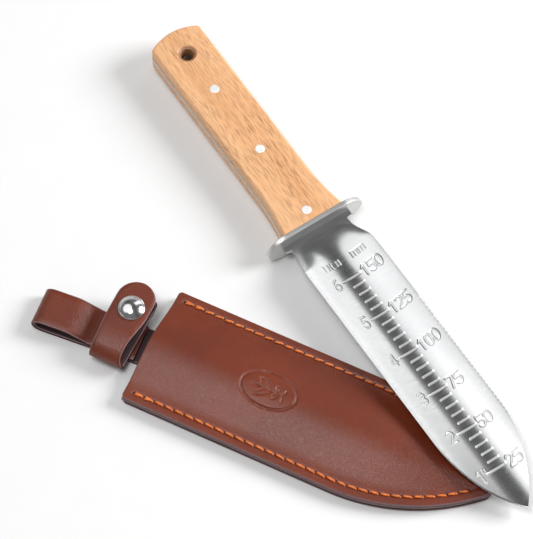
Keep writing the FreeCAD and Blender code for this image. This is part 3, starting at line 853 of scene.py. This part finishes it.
def emblem_lines():
    """A plain sprout inside the oval, growing towards the mouth."""
    def at(points):
        return [(EMBOSS_X - SPROUT_SCALE * up, SPROUT_SCALE * y) for y, up in points]

    stem = [(0, -9.0), (0.15, -4), (0, 1.5)]
    bud = [(0, 1.5), (0.6, 6), (0, 11.5), (-0.6, 6), (0, 1.5)]
    soil = [(-4.2, -9.6), (0, -9.0), (4.2, -9.6)]
    high_leaf = [(0, -1.5), (2.6, 0.2), (5.2, 3.6), (6.0, 7.6), (3.2, 6.2), (1.1, 3.2), (0, -1.5)]
    low_leaf = [(0, -6.5), (2.6, -6.0), (4.6, -3.6), (2.2, -3.8), (0, -6.5)]
    leaves = [[(side * y, up) for y, up in leaf] for side in (-1, 1) for leaf in (high_leaf, low_leaf)]
    return [at(line) for line in (stem, bud, soil, *leaves)]


def emboss(x, y):
    """Depth share of the pressed oval and the sprout in it."""
    a, b = EMBOSS_HALF
    dx = x - EMBOSS_X
    reach = np.hypot(dx / a, y / b)
    size = np.hypot(dx, y) / np.maximum(reach, 1e-3)
    off_line = np.abs(reach - 1) * size
    ring = smooth((0.85 - off_line) / 0.5)
    near = reach < 1
    motif = np.zeros_like(x)
    motif[near] = strokes_mask(x[near], y[near], emblem_lines(), 0.75, 0.5)
    return np.maximum(ring, 0.8 * motif)


def sheath_stations(step):
    stops = [1.0, 165, 184, TIP_END - 0.6, TIP_END - 0.02]
    return np.concatenate([[0, 0.05, 0.16, 0.34, 0.6], spread(stops, [step, step * 0.8, 0.3, 0.1])])


def sheath_columns(fine):
    near = 1 - np.array([0, 0.001, 0.004, 0.010, 0.018, 0.03])
    if not fine:
        return np.concatenate([-near, np.linspace(-0.9, 0.9, 13), near[::-1]])
    seam = np.linspace(0.955, 0.77, 17)
    outer = np.concatenate([near, seam, np.linspace(0.74, 0.36, 12)])
    return np.concatenate([-outer, np.linspace(-0.345, 0.345, 55), outer[::-1]])


def front_panel():
    """The bulged front with its pressed emblem, pulled down along the seam."""
    spots = [*seam_spots(-1), *seam_spots(1)]
    ends = [(spot, sign * along) for spot, along in spots for sign in (-1, 1)]
    holes = np.array([spot + way * STITCH_PITCH / 2 for spot, way in ends])

    def seam_pull(x, y):
        """The thread pulls the leather down in a soft line, most at each hole."""
        gap = edge_distance(x, y, mouth=False)
        line = 0.32 * np.exp(-((gap - SEAM_INSET) / 0.85) ** 2) * (x > 3.5)
        pits = np.zeros_like(x)
        for hx, hy in holes:
            near = (np.abs(x - hx) < 2.5) & (np.abs(y - hy) < 2.5)
            away = (x[near] - hx) ** 2 + (y[near] - hy) ** 2
            pits[near] = np.maximum(pits[near], np.exp(-away / 0.42))
        return line, pits

    def top(x, y):
        line, pits = seam_pull(x, y)
        return (3 * LEATHER + bulge(x, y) - rounded_edge(edge_distance(x, y), 0.55)
                - line - 0.45 * pits - 0.6 * emboss(x, y))

    def low(x, y):
        return 2 * LEATHER + 0.02 + bulge(x, y) + rounded_edge(edge_distance(x, y), 0.5)

    def paint(key, x, y):
        if key == "low":
            return 1.0
        cut_edge = smooth((0.42 - edge_distance(x, y)) / 0.35)
        # the awl holes get -1, which the leather material turns into painted shade
        return 0.42 * cut_edge - smooth(seam_pull(x, y)[1] * 1.3)

    return plate(sheath_stations(0.62), sheath_columns(True), sheath_columns(False),
                 rounded_half, top, low, paint=paint)


def back_panel():
    """The flat back with a channel for the thread, in one piece with the tongue and belt loop."""
    def top(x, y):
        return LEATHER - rounded_edge(edge_distance(x, y), 0.5)

    def low(x, y):
        sides = edge_distance(x, y, mouth=False)
        channel = 0.42 * np.exp(-((sides - SEAM_INSET) / 0.7) ** 4) * (x > 3.8)
        return rounded_edge(edge_distance(x, y), 0.5) + channel

    def paint(key, x, y):
        if key == "top":
            return 1.0
        return 0.42 * smooth((0.6 - edge_distance(x, y)) / 0.4)

    shape = plate(sheath_stations(1.2), sheath_columns(False), sheath_columns(True),
                  rounded_half, top, low, paint=paint)
    tongue_and_loop(shape)
    return shape


def outline_line(inset, count):
    """Points round the sheath from the near mouth corner over the tip to the far one."""
    radius = sheath_radius()
    half = SHEATH_HALF_WIDTH - inset
    centre = half - (radius - inset)
    tip = sheath_tip(inset)
    lean = math.asin((tip - SHEATH_STRAIGHT) / (radius - inset))
    straight = [(x, half) for x in np.linspace(0.15, SHEATH_STRAIGHT, count, endpoint=False)]
    curved = [(SHEATH_STRAIGHT + (radius - inset) * math.sin(t), centre + (radius - inset) * math.cos(t))
              for t in np.linspace(0, lean * 0.985, count)]
    far = np.array(straight + curved)
    near = far * [1, -1]
    return np.vstack([near, [[tip - 0.6, 0]], far[::-1]])


def welt():
    """Band of leather between front and back along the edges, its cut side slightly uneven."""
    shape = Shape()
    outer = outline_line(0.12, 110)
    inner = outline_line(WELT_WIDTH, 110)
    low, high = LEATHER + 0.03, 2 * LEATHER - 0.06
    wobble = 0.10 * np.sin(np.linspace(0, 90, len(outer))) * np.sin(np.linspace(0, 37, len(outer)))
    sizes = [(0.30, low), (0.05, low + 0.35), (0.0, (low + high) / 2), (0.05, high - 0.35), (0.30, high)]
    ring = []
    for share, z in sizes:
        shift = (inner - outer) * ((share + np.maximum(wobble, 0)) / WELT_WIDTH)[:, None]
        ring.append(np.column_stack([outer + shift, np.full(len(outer), z)]))
    for z in (high, low):
        ring.append(np.column_stack([inner, np.full(len(outer), z)]))
    shape.tube(np.stack(ring, 1), 0.45)
    return shape


def strip(shape, path, half_widths, thickness, across, skin_side):
    """Sweep a leather strip's rounded section along a path; one face is skin, the other flesh."""
    skin, cut, flesh = 0.0, 0.45, 1.0
    rounding = 0.5
    across = np.asarray(across, float)
    tangent = np.gradient(path, axis=0)
    tangent /= np.linalg.norm(tangent, axis=1)[:, None]
    normal = np.cross(tangent, across)
    normal /= np.linalg.norm(normal, axis=1)[:, None]
    thick = thickness / 2
    corner = [(1 - math.sin(a), 1 - math.cos(a)) for a in np.linspace(0, math.pi / 2, 5)]
    flats = np.linspace(0.97, -0.97, 9)
    rows = []
    paint = []
    for point, up, half in zip(path, normal, half_widths):
        radius = min(rounding, thick * 0.95, half * 0.9)
        section = []
        value = []
        for face in (1, -1):
            tone = skin if face == skin_side else flesh
            arc_in = [(face * (half - radius * a), face * (thick - radius * b)) for a, b in corner]
            arc_out = [(-a, b) for a, b in arc_in[::-1]]
            section += arc_in + [(face * (half - radius) * f, face * thick) for f in flats] + arc_out
            value += [cut] * 3 + [tone] * (len(flats) + 4) + [cut] * 3
        rows.append([point + across * a + up * b for a, b in section])
        paint.append(value)
    shape.tube(rows, np.array(paint))


def turned(points, angle):
    """Turn points about the upright axis through the origin."""
    c, s = math.cos(angle), math.sin(angle)
    return np.array(points, float) @ np.array([[c, s, 0], [-s, c, 0], [0, 0, 1]])


def tongue_and_loop(shape):
    """The tongue leaves the back panel, folds over and comes back to lie under the strap."""
    mid = LEATHER / 2
    top = LOOP_RISE + mid
    under = 3 * mid + 0.02
    reach = FOLD_CENTRE_X - FOLD_X - mid
    rise = (top - mid) / 2
    line = [(x, mid) for x in (6, 0, -15, -30, -44, -49, -52)]
    for step in range(7):
        turn = math.pi * step / 6
        line.append((FOLD_CENTRE_X - reach * math.sin(turn), mid + rise * (1 - math.cos(turn))))
    for step in range(20):
        x = -52 + 47 * (step + 1) / 20
        line.append((x, top + (under - top) * float(smooth((x + 43) / 16))))
    middle = (TONGUE_Y[0] + TONGUE_Y[1]) / 2
    path = through([(x, middle, z) for x, z in line], 150)
    path[:, 2] = np.maximum(path[:, 2], mid)
    across = turned([0, 1, 0], TONGUE_YAW)
    half = np.full(len(path), (TONGUE_Y[1] - TONGUE_Y[0]) / 2)
    strip(shape, turned(path, TONGUE_YAW), half, LEATHER, across, skin_side=1)


def strap_path(points, count):
    middle = (STRAP_X[0] + STRAP_X[1]) / 2
    return through([(middle, y, z) for y, z in points], count)


STRAP_HALF = (STRAP_X[1] - STRAP_X[0]) / 2


def strap_base():
    """The strap's lower run, its bend on the far side and its inner end with the stud."""
    shape = Shape()
    middle_z = (INNER_Z + HINGE_Z) / 2
    points = [(HINGE_Y + 1.2, HINGE_Z), (-8, HINGE_Z), (4, HINGE_Z), (BEND_Y - 2.5, HINGE_Z),
              (BEND_Y + 1.6, HINGE_Z + 0.7), (BEND_Y + 3.5, middle_z),
              (BEND_Y + 1.6, INNER_Z - 0.6), (BEND_Y - 2.5, INNER_Z), (8, INNER_Z), (2, INNER_Z)]
    path = strap_path(points, 110)
    strip(shape, path, np.full(len(path), STRAP_HALF), STRAP, (1, 0, 0), skin_side=1)
    return shape


def strap_flap():
    """The strap's free end: it rises from the fold, lies over the stud and ends in a half circle."""
    shape = Shape()
    points = [(HINGE_Y + 1.2, HINGE_Z), (HINGE_Y + 0.5, HINGE_Z + 0.03), (HINGE_Y - 0.3, HINGE_Z + 0.5),
              (-18.2, 7.2), (-17.0, 9.8), (-13.2, 12.4), (-7.0, 13.9),
              (0, FLAP_Z), (8, FLAP_Z), (16, FLAP_Z), (FLAP_NOSE, FLAP_Z)]
    path = strap_path(points, 150)
    wide = STRAP_HALF + FLAP_SPREAD
    start = FLAP_NOSE - wide
    body = path[path[:, 1] < start - 0.2]
    turns = np.linspace(0.0, math.pi / 2 * 0.985, 26)
    end = np.array([[body[0, 0], start + wide * math.sin(t), FLAP_Z] for t in turns])
    spread_out = smooth((body[:, 1] + 12.0) / 20.0)
    waist = FLAP_WAIST * smooth((body[:, 2] - 6.5) / 5.0) * (1 - spread_out)
    body[:, 0] -= waist / 2
    half = np.concatenate([STRAP_HALF + FLAP_SPREAD * spread_out - waist / 2, wide * np.cos(turns)])
    strip(shape, np.vstack([body, end]), half, STRAP, (1, 0, 0), skin_side=-1)
    return shape


def stitch(shape, spot, along, z, depth, radius, slant, squash=1.0):
    """One stitch: a twisted thread that rises from a hole, lies on the leather and dives again."""
    side = np.array([-along[1], along[0]])
    count, around = 13, 12
    rows = []
    for i in range(count):
        t = i / (count - 1) * 2 - 1
        centre = spot + along * t * STITCH_LENGTH / 2 + side * slant * t
        dive = abs(t) ** 5
        size = radius * (1 - 0.45 * abs(t) ** 6)
        height = z - depth * dive
        ring = []
        for k in range(around):
            angle = 2 * math.pi * k / around
            rope = 1 + 0.13 * math.cos(2 * (angle - 2.6 * t))
            off = math.cos(angle) * size * rope
            up = math.sin(angle) * size * rope * squash
            ring.append((centre[0] + side[0] * off, centre[1] + side[1] * off, height + up))
        rows.append(ring)
    shape.tube(rows)


def seam(side):
    """One edge's stitches, front and back, with a second pass over the first two at the mouth."""
    shape = Shape()
    rng = np.random.default_rng(7 if side > 0 else 11)
    top = 3 * LEATHER
    for number, (spot, along) in enumerate(seam_spots(side)):
        lift = rng.uniform(-0.05, 0.08)
        lean = side * 0.28 + rng.uniform(-0.10, 0.10)
        stitch(shape, spot, along, top + 0.05 + lift, 0.85, THREAD_RADIUS * 1.05, lean)
        if number < 2:
            stitch(shape, spot + [0, 0.5 * side], along, top + 0.22, 0.95, THREAD_RADIUS * 0.95, -lean)
        stitch(shape, spot, along, 0.27, -0.35, 0.24, lean, 0.85)
    return shape


def snap_cap():
    """Domed cap: a rolled rim, a shallow groove and a broad polished dome."""
    shape = Shape()
    base = FLAP_Z + STRAP / 2
    profile = [(0.02, 0.0), (6.2, 0.0), (6.55, 0.06), (6.76, 0.25), (6.8, 0.55), (6.68, 0.82), (6.4, 1.0),
               (DOME_RADIUS, RIM_HEIGHT)]
    ball = (DOME_RADIUS ** 2 + DOME_RISE ** 2) / (2 * DOME_RISE)
    for radius in np.linspace(DOME_RADIUS - 0.2, 0.3, 22):
        profile.append((radius, RIM_HEIGHT + DOME_RISE - (ball - math.sqrt(ball ** 2 - radius ** 2))))
    profile.append((0.02, RIM_HEIGHT + DOME_RISE))
    lathe(shape, profile, (SNAP[0], SNAP[1], base + 0.02), 96)
    lathe(shape, [(1.4, -STRAP - 0.03), (1.4, 0.01)], (SNAP[0], SNAP[1], base), 24)
    return shape


def place_leather(name, shape, node_name):
    place(make_object(name, shape, None, 50), "sheath", LEATHER_SKIN, node_name)


def build_sheath():
    place_leather("sheath_front_panel", front_panel(), "sheath_front")
    place_leather("sheath_back_and_loop", back_panel(), "sheath_back")
    place_leather("sheath_welt_band", welt(), "sheath_welt")
    place(make_object("thread_near", seam(-1)), "sheath", THREAD, "stitches_near")
    place(make_object("thread_far", seam(1)), "sheath", THREAD, "stitches_far")
    place_leather("strap_lower_run", strap_base(), "strap_base")
    build_flap()
    place(make_object("snap_dome", snap_cap()), "flap", NICKEL, "snap_cap")


def build_flap():
    """The flap's leather from the fold to its rounded end, made in place of the CAD flap."""
    flap = make_object("strap_flap_leather", strap_flap(), None, 50)
    flap.data.materials.append(LEATHER_SKIN)
    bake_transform(flap)
    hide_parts("strap_flap")


def finish_cad_nodes():
    """Materials for the CAD nodes that are shown as they are."""
    looks = {"guard": GUARD_STEEL, "rivet_1": PIN_METAL, "rivet_2": PIN_METAL, "rivet_3": PIN_METAL,
             "snap_socket": NICKEL, "snap_stud": NICKEL, "snap_back": NICKEL, "loop_rivet": NICKEL}
    for name, material in looks.items():
        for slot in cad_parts[name].material_slots:
            slot.material = material


# ---- studio ----

CAMERA_AZIMUTH = math.radians(27.06)
CAMERA_ELEVATION = math.radians(62.0)
CAMERA_ROLL = math.radians(-1.2)
CAMERA_WAY = Vector((math.sin(CAMERA_AZIMUTH) * math.cos(CAMERA_ELEVATION),
                     -math.cos(CAMERA_AZIMUTH) * math.cos(CAMERA_ELEVATION),
                     math.sin(CAMERA_ELEVATION)))
CAMERA_DISTANCE = 1.600
CAMERA_TARGET = Vector((0.03207, 0.06521, 0.0))
CAMERA_FOCAL_PIXELS = 3173.7
IMAGE_WIDTH = 533
SKY = (0.19, 0.19, 0.19)
HORIZON = (0.70, 0.70, 0.70)
DARK_STRIP = (0.105, 0.105, 0.107)
LIGHT_DISTANCE = 1.6
LIGHT_CENTRE = Vector((0.06, 0.05, 0.0))
FLOOR_REACH = 4000
FLOOR_Z = -0.02
KNIFE_AXIS = Vector((math.cos(KNIFE_YAW), math.sin(KNIFE_YAW), 0))


def build_camera():
    data = bpy.data.cameras.new("camera")
    data.sensor_fit = "HORIZONTAL"
    data.sensor_width = 36.0
    data.lens = CAMERA_FOCAL_PIXELS * data.sensor_width / IMAGE_WIDTH
    camera = bpy.data.objects.new("camera", data)
    facing = CAMERA_WAY.to_track_quat("Z", "Y").to_matrix().to_4x4()
    camera.matrix_world = (Matrix.Translation(CAMERA_TARGET + CAMERA_WAY * CAMERA_DISTANCE) @ facing
                           @ Matrix.Rotation(CAMERA_ROLL, 4, "Z"))
    bpy.context.scene.collection.objects.link(camera)
    bpy.context.scene.camera = camera


def area_light(name, direction, size, glow, long_side=None, along=(0, 0, 1)):
    """A softbox in the given direction from the object, its face glowing at the given radiance."""
    data = bpy.data.lights.new(name, "AREA")
    data.shape = "RECTANGLE" if long_side else "DISK"
    data.size = size
    area = math.pi * size ** 2 / 4
    if long_side:
        data.size_y = long_side
        area = size * long_side
    data.energy = math.pi * area * glow
    light = bpy.data.objects.new(name, data)
    away = Vector(direction).normalized()
    side = Vector(along).cross(away).normalized()
    turn = Matrix((side, away.cross(side), away)).transposed().to_4x4()
    light.matrix_world = Matrix.Translation(LIGHT_CENTRE + away * LIGHT_DISTANCE) @ turn
    bpy.context.scene.collection.objects.link(light)


def build_lights():
    """Key from the right, softboxes overhead and near, and a strip the trough's left side mirrors."""
    back = Vector((0.05, 0.855, 0.515))
    area_light("key", (0.75, 0.58, 0.60), 0.8, 18.0)
    area_light("softbox", (-0.48, -0.06, 0.875), 1.5, 1.27)
    area_light("near_box", (-0.10, -0.24, 0.96), 0.62, 10.5)
    area_light("back_strip", back, 0.55, 1.35, long_side=1.2, along=KNIFE_AXIS.cross(back))


def build_world():
    """A grey sky, lighter near the horizon, with one dark strip overhead in line with the knife,
    which the trough mirrors."""
    world = bpy.data.worlds.new("studio")
    bpy.context.scene.world = world
    world.use_nodes = True
    tree = world.node_tree
    tree.nodes.clear()
    where = node(tree, "TexCoord").outputs["Generated"]
    mirrored = CAMERA_WAY * Vector((-1, -1, 1))
    strip_side = KNIFE_AXIS.cross(mirrored).normalized()
    offset = node(tree, "VectorMath", {0: where, 1: tuple(strip_side)}, operation="DOT_PRODUCT")
    off_strip = math_node(tree, "ABSOLUTE", offset.outputs["Value"])
    height = node(tree, "SeparateXYZ", {"Vector": where}).outputs["Z"]
    strip_share = ramp(tree, off_strip, 0.13, 0.24, 1.0, 0.0)
    strip_share = math_node(tree, "MULTIPLY", strip_share, ramp(tree, height, 0.2, 0.45))
    sky = mix_colour(tree, ramp(tree, height, 0.14, 0.42), HORIZON, SKY)
    sky = mix_colour(tree, strip_share, sky, DARK_STRIP)
    background = node(tree, "Background", {"Color": sky, "Strength": 1.0})
    node(tree, "OutputWorld", {"Surface": background.outputs[0]})


def build_floor():
    shape = Shape()
    corners = ((-1, -1), (1, -1), (1, 1), (-1, 1))
    shape.add_points([(FLOOR_REACH * x, FLOOR_REACH * y, FLOOR_Z) for x, y in corners], 0)
    shape.faces.append((0, 1, 2, 3))
    floor = make_object("floor", shape)
    material, tree, shader = new_material("floor_paper")
    grain = noise(tree, coordinates(tree), 60.0, 2.0)
    shade = mix_colour(tree, grain, (0.74, 0.74, 0.74), (0.76, 0.76, 0.76))
    finish(shader, Base_Color=shade, Roughness=0.9, Specular_IOR_Level=0.1)
    floor.data.materials.append(material)


build_knife()
build_sheath()
finish_cad_nodes()
build_camera()
build_world()
build_floor()
build_lights()
scene = bpy.context.scene
scene.view_settings.view_transform = "Standard"
